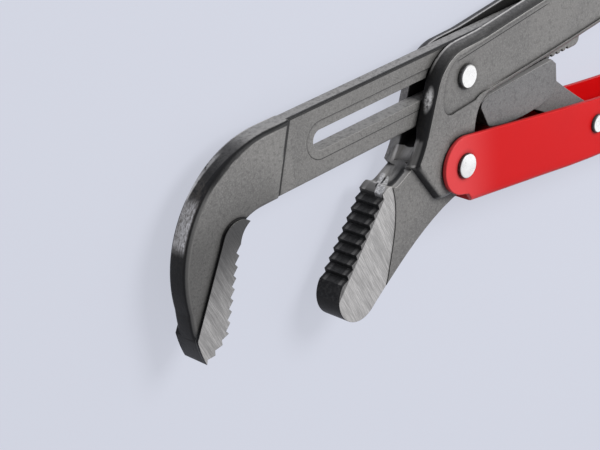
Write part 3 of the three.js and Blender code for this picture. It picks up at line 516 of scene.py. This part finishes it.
    def back_painted_shade(self):
        """Painted shade along the back's near half, narrowing towards the step, and on the near
        edge, less dark where the hook comes down."""
        n = self.n
        start = n.blend(n.ramp(self.x, -0.156, -0.122), 0.0006, 0.0036)
        near_half = n.ramp(n.minus(self.lift, start), -0.0002, 0.0005)
        up_to_step = n.ramp(self.x, -0.1004, -0.1008)
        under_face = n.ramp(self.side, JAW_FACE - 0.00005, JAW_FACE - 0.00020)
        band = n.times(near_half, n.ramp(self.y, -0.0005, 0.004), up_to_step, under_face)
        self.paint(band, BLACK, amount=0.9)
        near_turn = n.times(n.ramp(self.lift, 0.0035, 0.0042), n.ramp(self.soft[2], 0.45, 0.72),
                            n.ramp(self.soft[2], 0.99, 0.96), n.ramp(self.x, -0.140, -0.150))
        self.paint(near_turn, 0.75, amount=0.75)


class ForgedBody(Forged):
    """Lower jaw, cheeks and handle."""

    def by_cheek(self, far_tone, near_tone):
        """One tone on the far cheek, another on the near one and on the jaw under both, as painted
        light and painted shade.
        """
        n = self.n
        tone = n.mix(n.ramp(self.lift, -0.001, 0.003), far_tone, near_tone)
        return n.mix(n.ramp(self.y, -0.029, -0.033), tone, near_tone)

    def bare(self):
        # painted light on the far cheek's walls that face left, painted shade on the near cheek's
        return self.by_cheek(self.shade(2.5, 0.02), self.shade(0.07, 0.1))

    def darkest_wall_tone(self):
        return self.by_cheek(self.shade(1.5, 0.02), self.shade(0.02))

    def rim(self):
        self.paint_turn_shade((-0.05, 0.80), (0.99, 0.95))

    def rubbing_and_highlights(self):
        n = self.n
        self.on_face = n.times(self.flat, n.ramp(self.side, *ABOVE_PANEL))
        # edges lighter, partly wear and partly painted highlight, except where they face left
        rubbed = n.times(self.edge, n.without(self.on_face),
                         n.without(n.times(self.leftward, 0.9)))
        self.paint(n.times(rubbed, self.worn()), WORN_AND_HIGHLIT, amount=0.45)
        self.panel()
        self.top_rims()
        self.edge_highlight(BODY_FACE, deep=0.00016, shallow=0.00001, amount=0.55)

    def panel(self):
        """A thin line of painted shade where the face drops to the sunk panel, which is a little
        duller, and another line of painted shade along the panel's top."""
        n = self.n
        under_top = n.minus(n.plus(PANEL_TOP, n.times(self.x, PANEL_RISE)), self.y)
        here = n.most(n.ramp(under_top, 0.0, 0.0010), n.ramp(self.x, -0.003, -0.006))
        fading = n.blend(n.ramp(self.x, 0.000, 0.012), 0.85, 0.25)
        edge = n.edge_share(self.rounded, 0.004, 0.03)
        self.paint(n.times(edge, self.on_face, here, fading), DEEP_SHADE)
        sunk = n.times(self.flat, n.between(self.side, 0.0060, 0.0096, 0.0002))
        self.paint(sunk, 0.5, amount=0.14)
        top_shade_line = n.between(under_top, -0.00020, 0.00020, 0.00008)
        starts, ends = n.ramp(self.x, -0.006, -0.003), n.ramp(self.x, 0.060, 0.055)
        on_panel = n.between(self.side, 0.0085, 0.0096, 0.0001)
        self.paint(n.times(top_shade_line, starts, self.flat, on_panel, ends), BLACK, amount=0.92)

    def top_rims(self):
        """Tops mottled darker, with a painted highlight along the channel and painted shade on the
        far cheek beyond it.
        """
        n = self.n
        top = n.ramp(self.soft[1], 0.55, 0.85)
        mottle = n.ramp(n.noise(scale=760.0, detail=4.0, roughness=0.8), 0.42, 0.58)
        self.paint(n.times(top, mottle), 0.30, amount=0.6)
        self.paint(n.times(top, n.ramp(self.lift, -0.0052, -0.0062)), 0.10, amount=0.75)
        along_channel = n.between(self.side, 0.0036, 0.0052, 0.0004)
        self.paint(n.times(top, along_channel, n.ramp(self.pits, 0.2, 0.5)), 3.8, amount=0.85)

    def details(self):
        n = self.n
        self.ground(low=0.0062, right=-0.040, tone=1.0, below=n.ramp(self.side, 0.00683, 0.00680))
        wash = n.strokes(angle=35.0, along=90.0, across=420.0, detail=3.0, through=420.0)
        self.wash = n.ramp(wash, 0.36, 0.64)
        # a height that follows the photo's rows between the cheeks
        self.level = n.plus(self.y, n.minus(n.times(self.x, 0.415), n.times(self.lift, 0.282)))
        self.saddle()
        self.streaks()
        self.fangs()
        self.find_valley()
        self.channel()
        self.worn_spot_highlight()
        self.valley()

    def saddle(self):
        """The bare saddle between the cheeks in painted light, with painted shade on its near half
        and painted highlights on its near and outer edges.
        """
        n = self.n
        narrow, wide = n.ramp(self.side, 0.0068, 0.0064), n.ramp(self.side, 0.00698, 0.00690)
        saddle = n.times(n.between(self.x, -0.0535, -0.0285, 0.0015),
                         n.between(self.y, -0.0375, -0.0200, 0.0015),
                         n.blend(n.ramp(self.x, -0.0470, -0.0455), narrow, wide))
        near_half = n.ramp(self.lift, -0.0004, 0.0020)
        beside_tooth = n.ramp(self.x, -0.0485, -0.0497)
        edge_from = n.blend(n.ramp(self.y, -0.0318, -0.0312), 0.0041, 0.0030)
        edge = n.ramp(n.minus(self.lift, edge_from), 0.0, 0.0007)
        outer_edge = n.ramp(self.lift, 0.0054, 0.0062)
        bed = self.layered(n.mix(self.wash, self.shade(1.1), self.shade(2.3)),
                           (near_half, 0.15), (beside_tooth, 1.2), (edge, 2.9),
                           (outer_edge, WORN_AND_HIGHLIT))
        self.paint(saddle, bed, amount=0.9)

    def streaks(self):
        """Two streaks worn bright down to the first tooth, painted as highlights, and a dark line
        between them.
        """
        n = self.n
        above_tooth = n.ramp(self.y, -0.0378, -0.0366)
        down = n.minus(-0.0432, self.x)
        aside = n.minus(self.lift, n.minus(n.times(down, 0.34), 0.0021))
        upper = n.times(n.between(aside, -0.0026, -0.0004, 0.0003),
                        n.between(self.x, -0.0497, -0.0405, 0.0006))
        lower = n.times(n.ramp(aside, 0.0003, 0.0006),
                        n.ramp(n.minus(aside, n.times(down, 0.35)), 0.0026, 0.0018),
                        n.ramp(self.x, -0.0400, -0.0412), n.ramp(self.side, 0.0062, 0.0058))
        drawn = n.strokes(angle=40.0, along=160.0, across=900.0, through=700.0)
        streak = n.times(n.most(upper, lower), n.ramp(drawn, 0.26, 0.42), above_tooth)
        speckle = n.ramp(n.noise(scale=900.0, detail=3.0, roughness=0.7), 0.40, 0.60)
        self.paint(streak, n.mix(speckle, (0.55, 0.54, 0.52), (1.0, 0.98, 0.94)), amount=0.92)
        self.polish(streak, amount=0.6, rough=0.42)
        dark_line = n.times(n.between(self.x, -0.0515, -0.0415, 0.0006),
                          n.between(aside, -0.0004, 0.0003, 0.0001), above_tooth)
        self.paint(dark_line, DARK, amount=0.95)

    def fangs(self):
        """The teeth are darkened to near black down to the tips, mottled."""
        n = self.n
        depth = n.minus(n.times(self.x, 0.743), n.times(self.y, 0.669))
        fangs = n.times(n.ramp(depth, -0.0140, -0.0143), n.ramp(self.y, -0.0368, -0.0378),
                        n.ramp(self.side, 0.0068, 0.0066))
        scale = n.mix(n.ramp(self.pits, 0.4, 0.7), self.shade(BLACK), self.shade(0.22))
        self.paint(fangs, scale, amount=0.8)

    def find_valley(self):
        """Where light and shade are painted below the channel's rounded end: the valley between the
        cheeks, the near cheek's front and the far cheek's inner wall."""
        n = self.n
        across = n.times(n.plus(self.lift, 0.0002), 1 / CHANNEL_HALF)
        rounding = n.times(n.least(n.times(across, across), 1.0), 0.0015)
        past_end = n.minus(self.level, n.plus(CHANNEL_END, rounding))
        self.near = n.ramp(self.lift, 0.0038, 0.0046)
        self.inner = n.times(n.ramp(self.lift, -0.0030, -0.0036), n.ramp(self.true[2], 0.5, 0.9))
        below_end = n.blend(self.near, n.ramp(past_end, 0.0003, -0.0003),
                            n.ramp(past_end, 0.0014, -0.0006))
        front_end, saddle_end = n.ramp(self.x, -0.0225, -0.0240), n.ramp(self.x, -0.0375, -0.0355)
        above_saddle = n.ramp(self.y, -0.0318, -0.0290)
        off_far_rim = n.ramp(self.lift, -0.0052, -0.0044)
        facing = n.most(n.ramp(self.soft[0], -0.15, -0.35), self.inner)
        self.valley_area = n.times(below_end, front_end, saddle_end, above_saddle, off_far_rim, facing)

    def channel(self):
        """Painted shade: the channel's walls and floor are painted black."""
        n = self.n
        wall = n.ramp(n.unsigned(self.true[2]), 0.5, 0.9)
        deep = n.most(wall, n.ramp(self.x, -0.0330, -0.0318))
        self.paint(n.times(n.ramp(self.side, 0.0044, 0.0041), deep), BLACK, amount=0.95)

    def worn_spot_highlight(self):
        """A bright spot on the near cheek's front, worn where the shank rubs and painted as a
        highlight.
        """
        n = self.n
        below_pin, out, half_height, half_width = 0.0035, 0.0070, 0.0052, 0.0019
        high = n.times(n.plus(self.y, below_pin), 1 / half_height)
        wide = n.times(n.minus(self.lift, out), 1 / half_width)
        blotches = n.noise(scale=520.0, detail=5.0, roughness=0.75)
        drawn = n.strokes(angle=86.0, along=120.0, across=700.0, through=700.0)
        worn = n.plus(n.times(blotches, 0.6), n.times(drawn, 0.4))
        spot = n.times(n.ramp(n.length(high, wide), 1.2, 0.35), self.leftward,
                       n.ramp(worn, 0.36, 0.56))
        self.paint(spot, (1.0, 0.98, 0.95), amount=0.95)

    def valley(self):
        """The painted light and shade of the valley area: light in the valley, darker down the near
        cheek's front, with painted highlights beside the valley and at the near cheek's foot."""
        n = self.n
        down_bed, down_cheek = (n.ramp(self.level, start, -0.0433) for start in (-0.0390, -0.0376))
        bed = self.layered(n.mix(down_bed, self.shade(4.2), self.shade(1.5)),
                           (self.inner, BRIGHT))
        outer_half = n.ramp(self.lift, 0.0056, 0.0066)
        lit_lip = n.times(n.between(self.y, -0.0296, -0.0287, 0.0002),
                      n.ramp(self.lift, 0.0066, 0.0072))
        line = n.times(n.between(self.lift, 0.0030, 0.0058, 0.0004),
                       n.ramp(self.level, -0.0394, -0.0376))
        under_face = n.ramp(self.lift, 0.0080, 0.0090)
        cheek = self.layered(n.mix(down_cheek, self.shade(1.9), self.shade(0.45)),
                             (outer_half, 0.8), (lit_lip, WORN_AND_HIGHLIT), (line, BRIGHT),
                             (under_face, BLACK))
        washed = n.times(self.wash, n.ramp(self.lift, 0.0080, 0.0070), 0.25)
        tone = self.layered(n.mix(self.near, bed, cheek), (washed, 1.2))
        self.paint(self.valley_area, tone, amount=0.92)

    def no_painted_shade(self):
        # no painted shade on the handle's lower rim, beside the lever's ear, or in the valley area
        n = self.n
        low, along_handle = n.ramp(self.y, -0.0095, -0.0102), n.ramp(self.x, 0.010, 0.016)
        lower_rim = n.times(low, along_handle, n.ramp(self.side, 0.0078, 0.0088))
        left_of_ear, beside_ear = n.ramp(self.x, -0.0135, -0.0150), n.ramp(self.y, -0.0240, -0.0270)
        cheek = n.times(self.on_face, left_of_ear, beside_ear, 0.8)
        return n.most(n.times(self.valley_area, 0.88), n.most(lower_rim, cheek))


class ForgedBlock(Forged):
    """The locking block. Its top, seen through the gap under the handle, is bare, painted light and
    kept free of painted shade.
    """

    def details(self):
        n = self.n
        self.top = n.times(n.ramp(self.true[1], 0.5, 0.8), n.ramp(self.y, -0.0215, -0.0195))
        self.paint(self.top, 2.3, amount=0.9)

    def no_painted_shade(self):
        return self.top


# ---------------------------------------------------------------- other materials

def red_powder_coat():
    n = Nodes("red_powder_coat")
    peel = n.noise(scale=620.0, detail=2.0, roughness=0.45)
    fine = n.noise(scale=1900.0, detail=2.0, roughness=0.5)
    cloud = n.ramp(n.noise(scale=16.0, detail=3.0, roughness=0.5), 0.3, 0.7)
    x, y, z = n.axes()
    soft = n.rounded(0.0005)
    colour = n.mix(cloud, (0.595, 0.003, 0.004), (0.665, 0.005, 0.006))
    # painted reflection, paler towards the front, and painted highlights on the edges, which are
    # chipped in places
    colour = n.mix(n.times(n.ramp(x, 0.018, -0.016), 0.75), colour, (0.84, 0.085, 0.090))
    edge = n.edge_share(soft, 0.02, 0.35)
    spots = n.ramp(n.noise(scale=143.0, detail=5.0, roughness=0.7), 0.63, 0.69)
    chips = n.times(edge, spots)
    colour = n.mix(n.times(edge, 0.45), colour, (0.90, 0.20, 0.19))
    colour = n.mix(n.times(chips, 0.5), colour, (0.30, 0.27, 0.26))
    # painted shade in corners and gaps, but for the front of the ears, and painted shade inside
    # behind them
    ear_front = n.times(n.ramp(x, -0.0125, -0.0150), n.ramp(y, -0.0460, -0.0430))
    occlusion_shade = n.times(n.occlusion_shade(0.0025, 1.3), n.without(n.times(ear_front, 0.85)))
    colour = n.mix(occlusion_shade, colour, (0.10, 0.004, 0.004))
    within = n.ramp(n.unsigned(n.minus(z, MID_Z)), 0.0112, 0.0106)
    inside = n.times(within, n.ramp(x, 0.050, 0.030), n.ramp(y, -0.046, -0.042), 0.92)
    colour = n.mix(inside, colour, (0.012, 0.004, 0.004))
    n.link(colour, n.shader.inputs["Base Color"])
    n.link(n.blend(chips, n.blend(cloud, 0.34, 0.42), 0.55), n.shader.inputs["Roughness"])
    n.set(Specular_IOR_Level=0.12, Coat_Weight=0.05, Coat_Roughness=0.16)
    relief = n.plus(n.times(peel, 0.8), n.times(fine, 0.2))
    n.bump(relief, distance=0.00009, strength=0.5, normal=soft)
    return n.material


def bright_pin():
    n = Nodes("bright_zinc")
    cloud = n.noise(scale=240.0, detail=4.0, roughness=0.6)
    hammer = n.noise(scale=700.0, detail=2.0, roughness=0.5)
    soft = n.axes(n.geometry.outputs["Normal"])
    level = n.unsigned(soft[2])
    colour = n.mix(n.ramp(cloud, 0.3, 0.72), (0.86, 0.855, 0.84), (0.97, 0.965, 0.95))
    # painted shade: the chamfer dark where it faces left, the head's side walls near black
    leftward = n.ramp(n.times(soft[0], -1.0), 0.05, 0.40)
    chamfer = n.mix(leftward, (0.55, 0.55, 0.54), (0.06, 0.06, 0.06))
    colour = n.mix(n.times(n.ramp(level, 0.95, 0.82), 0.9), colour, chamfer)
    wall = n.mix(n.ramp(hammer, 0.35, 0.65), (0.010, 0.010, 0.010), (0.060, 0.058, 0.055))
    colour = n.mix(n.times(n.ramp(level, 0.55, 0.36), 0.97), colour, wall)
    # painted shade in corners and gaps
    colour = n.mix(n.occlusion_shade(0.0020, 1.4), colour, (0.03, 0.03, 0.03))
    n.link(colour, n.shader.inputs["Base Color"])
    n.link(n.blend(n.ramp(cloud, 0.3, 0.7), 0.24, 0.36), n.shader.inputs["Roughness"])
    n.set(Metallic=0.15)
    n.bump(hammer, distance=0.00004, strength=0.5, normal=n.rounded(0.0003))
    return n.material


def machined(name, tone, along, across):
    """Turned or drawn steel, with fine lines along X."""
    n = Nodes(name)
    marks = n.strokes(0.0, along, across)
    lines = n.ramp(marks, 0.3, 0.7)
    cloud = n.ramp(n.noise(scale=90.0, detail=3.0, roughness=0.5), 0.4, 0.7)
    dull, dark = (tuple(c * share for c in tone) for share in (0.8, 0.55))
    colour = n.mix(n.times(cloud, 0.3), n.mix(lines, dull, tone), dark)
    n.link(colour, n.shader.inputs["Base Color"])
    n.link(n.blend(lines, 0.28, 0.44), n.shader.inputs["Roughness"])
    n.set(Metallic=0.85)
    n.bump(marks, distance=0.00004, strength=0.6, normal=n.rounded(0.0002))
    return n.material


# ---------------------------------------------------------------- smooth shading of the CAD solids

def smooth_by_angle():
    group = bpy.data.node_groups.new("smooth_by_angle", "GeometryNodeTree")
    for way in ("INPUT", "OUTPUT"):
        group.interface.new_socket("Geometry", in_out=way, socket_type="NodeSocketGeometry")
    enter = group.nodes.new("NodeGroupInput")
    leave = group.nodes.new("NodeGroupOutput")
    merge = group.nodes.new("GeometryNodeMergeByDistance")
    merge.inputs["Distance"].default_value = MERGE_DISTANCE
    faces = group.nodes.new("GeometryNodeSetShadeSmooth")
    faces.inputs["Shade Smooth"].default_value = True
    edges = group.nodes.new("GeometryNodeSetShadeSmooth")
    edges.domain = "EDGE"
    edges.inputs["Shade Smooth"].default_value = False
    angle = group.nodes.new("GeometryNodeInputMeshEdgeAngle")
    over = group.nodes.new("FunctionNodeCompare")
    over.data_type = "FLOAT"
    over.operation = "GREATER_THAN"
    over.inputs[1].default_value = math.radians(SHARP_DEGREES)
    link = group.links.new
    link(enter.outputs[0], merge.inputs["Geometry"])
    link(merge.outputs[0], faces.inputs["Geometry"])
    link(faces.outputs[0], edges.inputs["Geometry"])
    link(angle.outputs["Unsigned Angle"], over.inputs[0])
    link(over.outputs[0], edges.inputs["Selection"])
    link(edges.outputs[0], leave.inputs[0])
    return group


def shade_solids():
    group = smooth_by_angle()
    for node in nodes.values():
        node.modifiers.new("smooth_by_angle", "NODES").node_group = group
        weighted = node.modifiers.new("weighted_normal", "WEIGHTED_NORMAL")
        weighted.keep_sharp = True
        weighted.weight = AREA_WEIGHT


# ---------------------------------------------------------------- floor, light

def seen_directly(tree):
    """1 for what the camera sees, by itself or in metal or glass, 0 for light on the part."""
    path = tree.nodes.new("ShaderNodeLightPath")
    seen = path.outputs["Is Camera Ray"]
    for output in ("Is Glossy Ray", "Is Transmission Ray"):
        either = tree.nodes.new("ShaderNodeMath")
        either.operation = "MAXIMUM"
        tree.links.new(seen, either.inputs[0])
        tree.links.new(path.outputs[output], either.inputs[1])
        seen = either.outputs[0]
    return seen


def mix_shaders(tree, share, a, b, target):
    node = tree.nodes.new("ShaderNodeMixShader")
    for source, socket in zip((share, a, b), node.inputs):
        tree.links.new(source, socket)
    tree.links.new(node.outputs[0], target)


def floor():
    corners = [(sx * FLOOR_HALF, sy * FLOOR_HALF, 0)
               for sx, sy in ((-1, -1), (1, -1), (1, 1), (-1, 1))]
    mesh = bpy.data.meshes.new("floor")
    mesh.from_pydata(corners, [], [(0, 1, 2, 3)])
    plane = bpy.data.objects.new("floor", mesh)
    plane.location.z = FLOOR_Z - FLOOR_GAP
    scene.collection.objects.link(plane)
    n = Nodes("floor")
    n.set(Base_Color=FLOOR_COLOUR, Roughness=0.9, Specular_IOR_Level=0.0)
    glow = n.add("ShaderNodeEmission")
    glow.inputs["Color"].default_value = FLOOR_GLOW
    glow.inputs["Strength"].default_value = 1.0
    share = n.times(seen_directly(n.tree), FLOOR_GLOW_SHARE)
    mix_shaders(n.tree, share, n.shader.outputs[0], glow.outputs[0], n.output.inputs[0])
    mesh.materials.append(n.material)


def area_light(name, place, size, power):
    """A disk of light that points at the jaw pin."""
    data = bpy.data.lights.new(name, "AREA")
    data.shape = "DISK"
    data.size = size
    data.energy = power
    light = bpy.data.objects.new(name, data)
    light.location = place
    light.rotation_euler = (-Vector(place)).to_track_quat("-Z", "Y").to_euler()
    scene.collection.objects.link(light)


def lighting():
    world = bpy.data.worlds.new("world")
    world.use_nodes = True
    tree = world.node_tree
    ambient = tree.nodes["Background"]
    ambient.inputs["Color"].default_value = AMBIENT
    ambient.inputs["Strength"].default_value = AMBIENT_STRENGTH
    backdrop = tree.nodes.new("ShaderNodeBackground")
    backdrop.inputs["Color"].default_value = BACKDROP
    mix_shaders(tree, seen_directly(tree), ambient.outputs[0], backdrop.outputs[0],
                tree.nodes["World Output"].inputs[0])
    scene.world = world
    area_light("key", place=(0.55, 0.75, 1.25), size=0.8, power=19.0)
    area_light("fill", place=(0.9, 0.1, 0.6), size=1.2, power=3.0)


# ---------------------------------------------------------------- put together

place_camera()
shade_solids()
assign(ForgedJaw("forged_jaw", JAW_GREY).n.material, "hook_jaw")
assign(ForgedBody("forged_body", BODY_GREY).n.material, "handle_body")
assign(ForgedBlock("forged_block", BLOCK_GREY).n.material, "locking_block")
assign(red_powder_coat(), "squeeze_lever")
assign(bright_pin(), "jaw_pin", "lever_pin", "block_pin")
ground_steel = machined("ground_steel", GROUND_STEEL, along=400.0, across=4000.0)
assign(ground_steel, "guide_bush", "block_spacer")
spring_wire = machined("spring_wire", SPRING_STEEL, along=900.0, across=900.0)
assign(spring_wire, "block_spring", "lever_spring")
floor()
lighting()
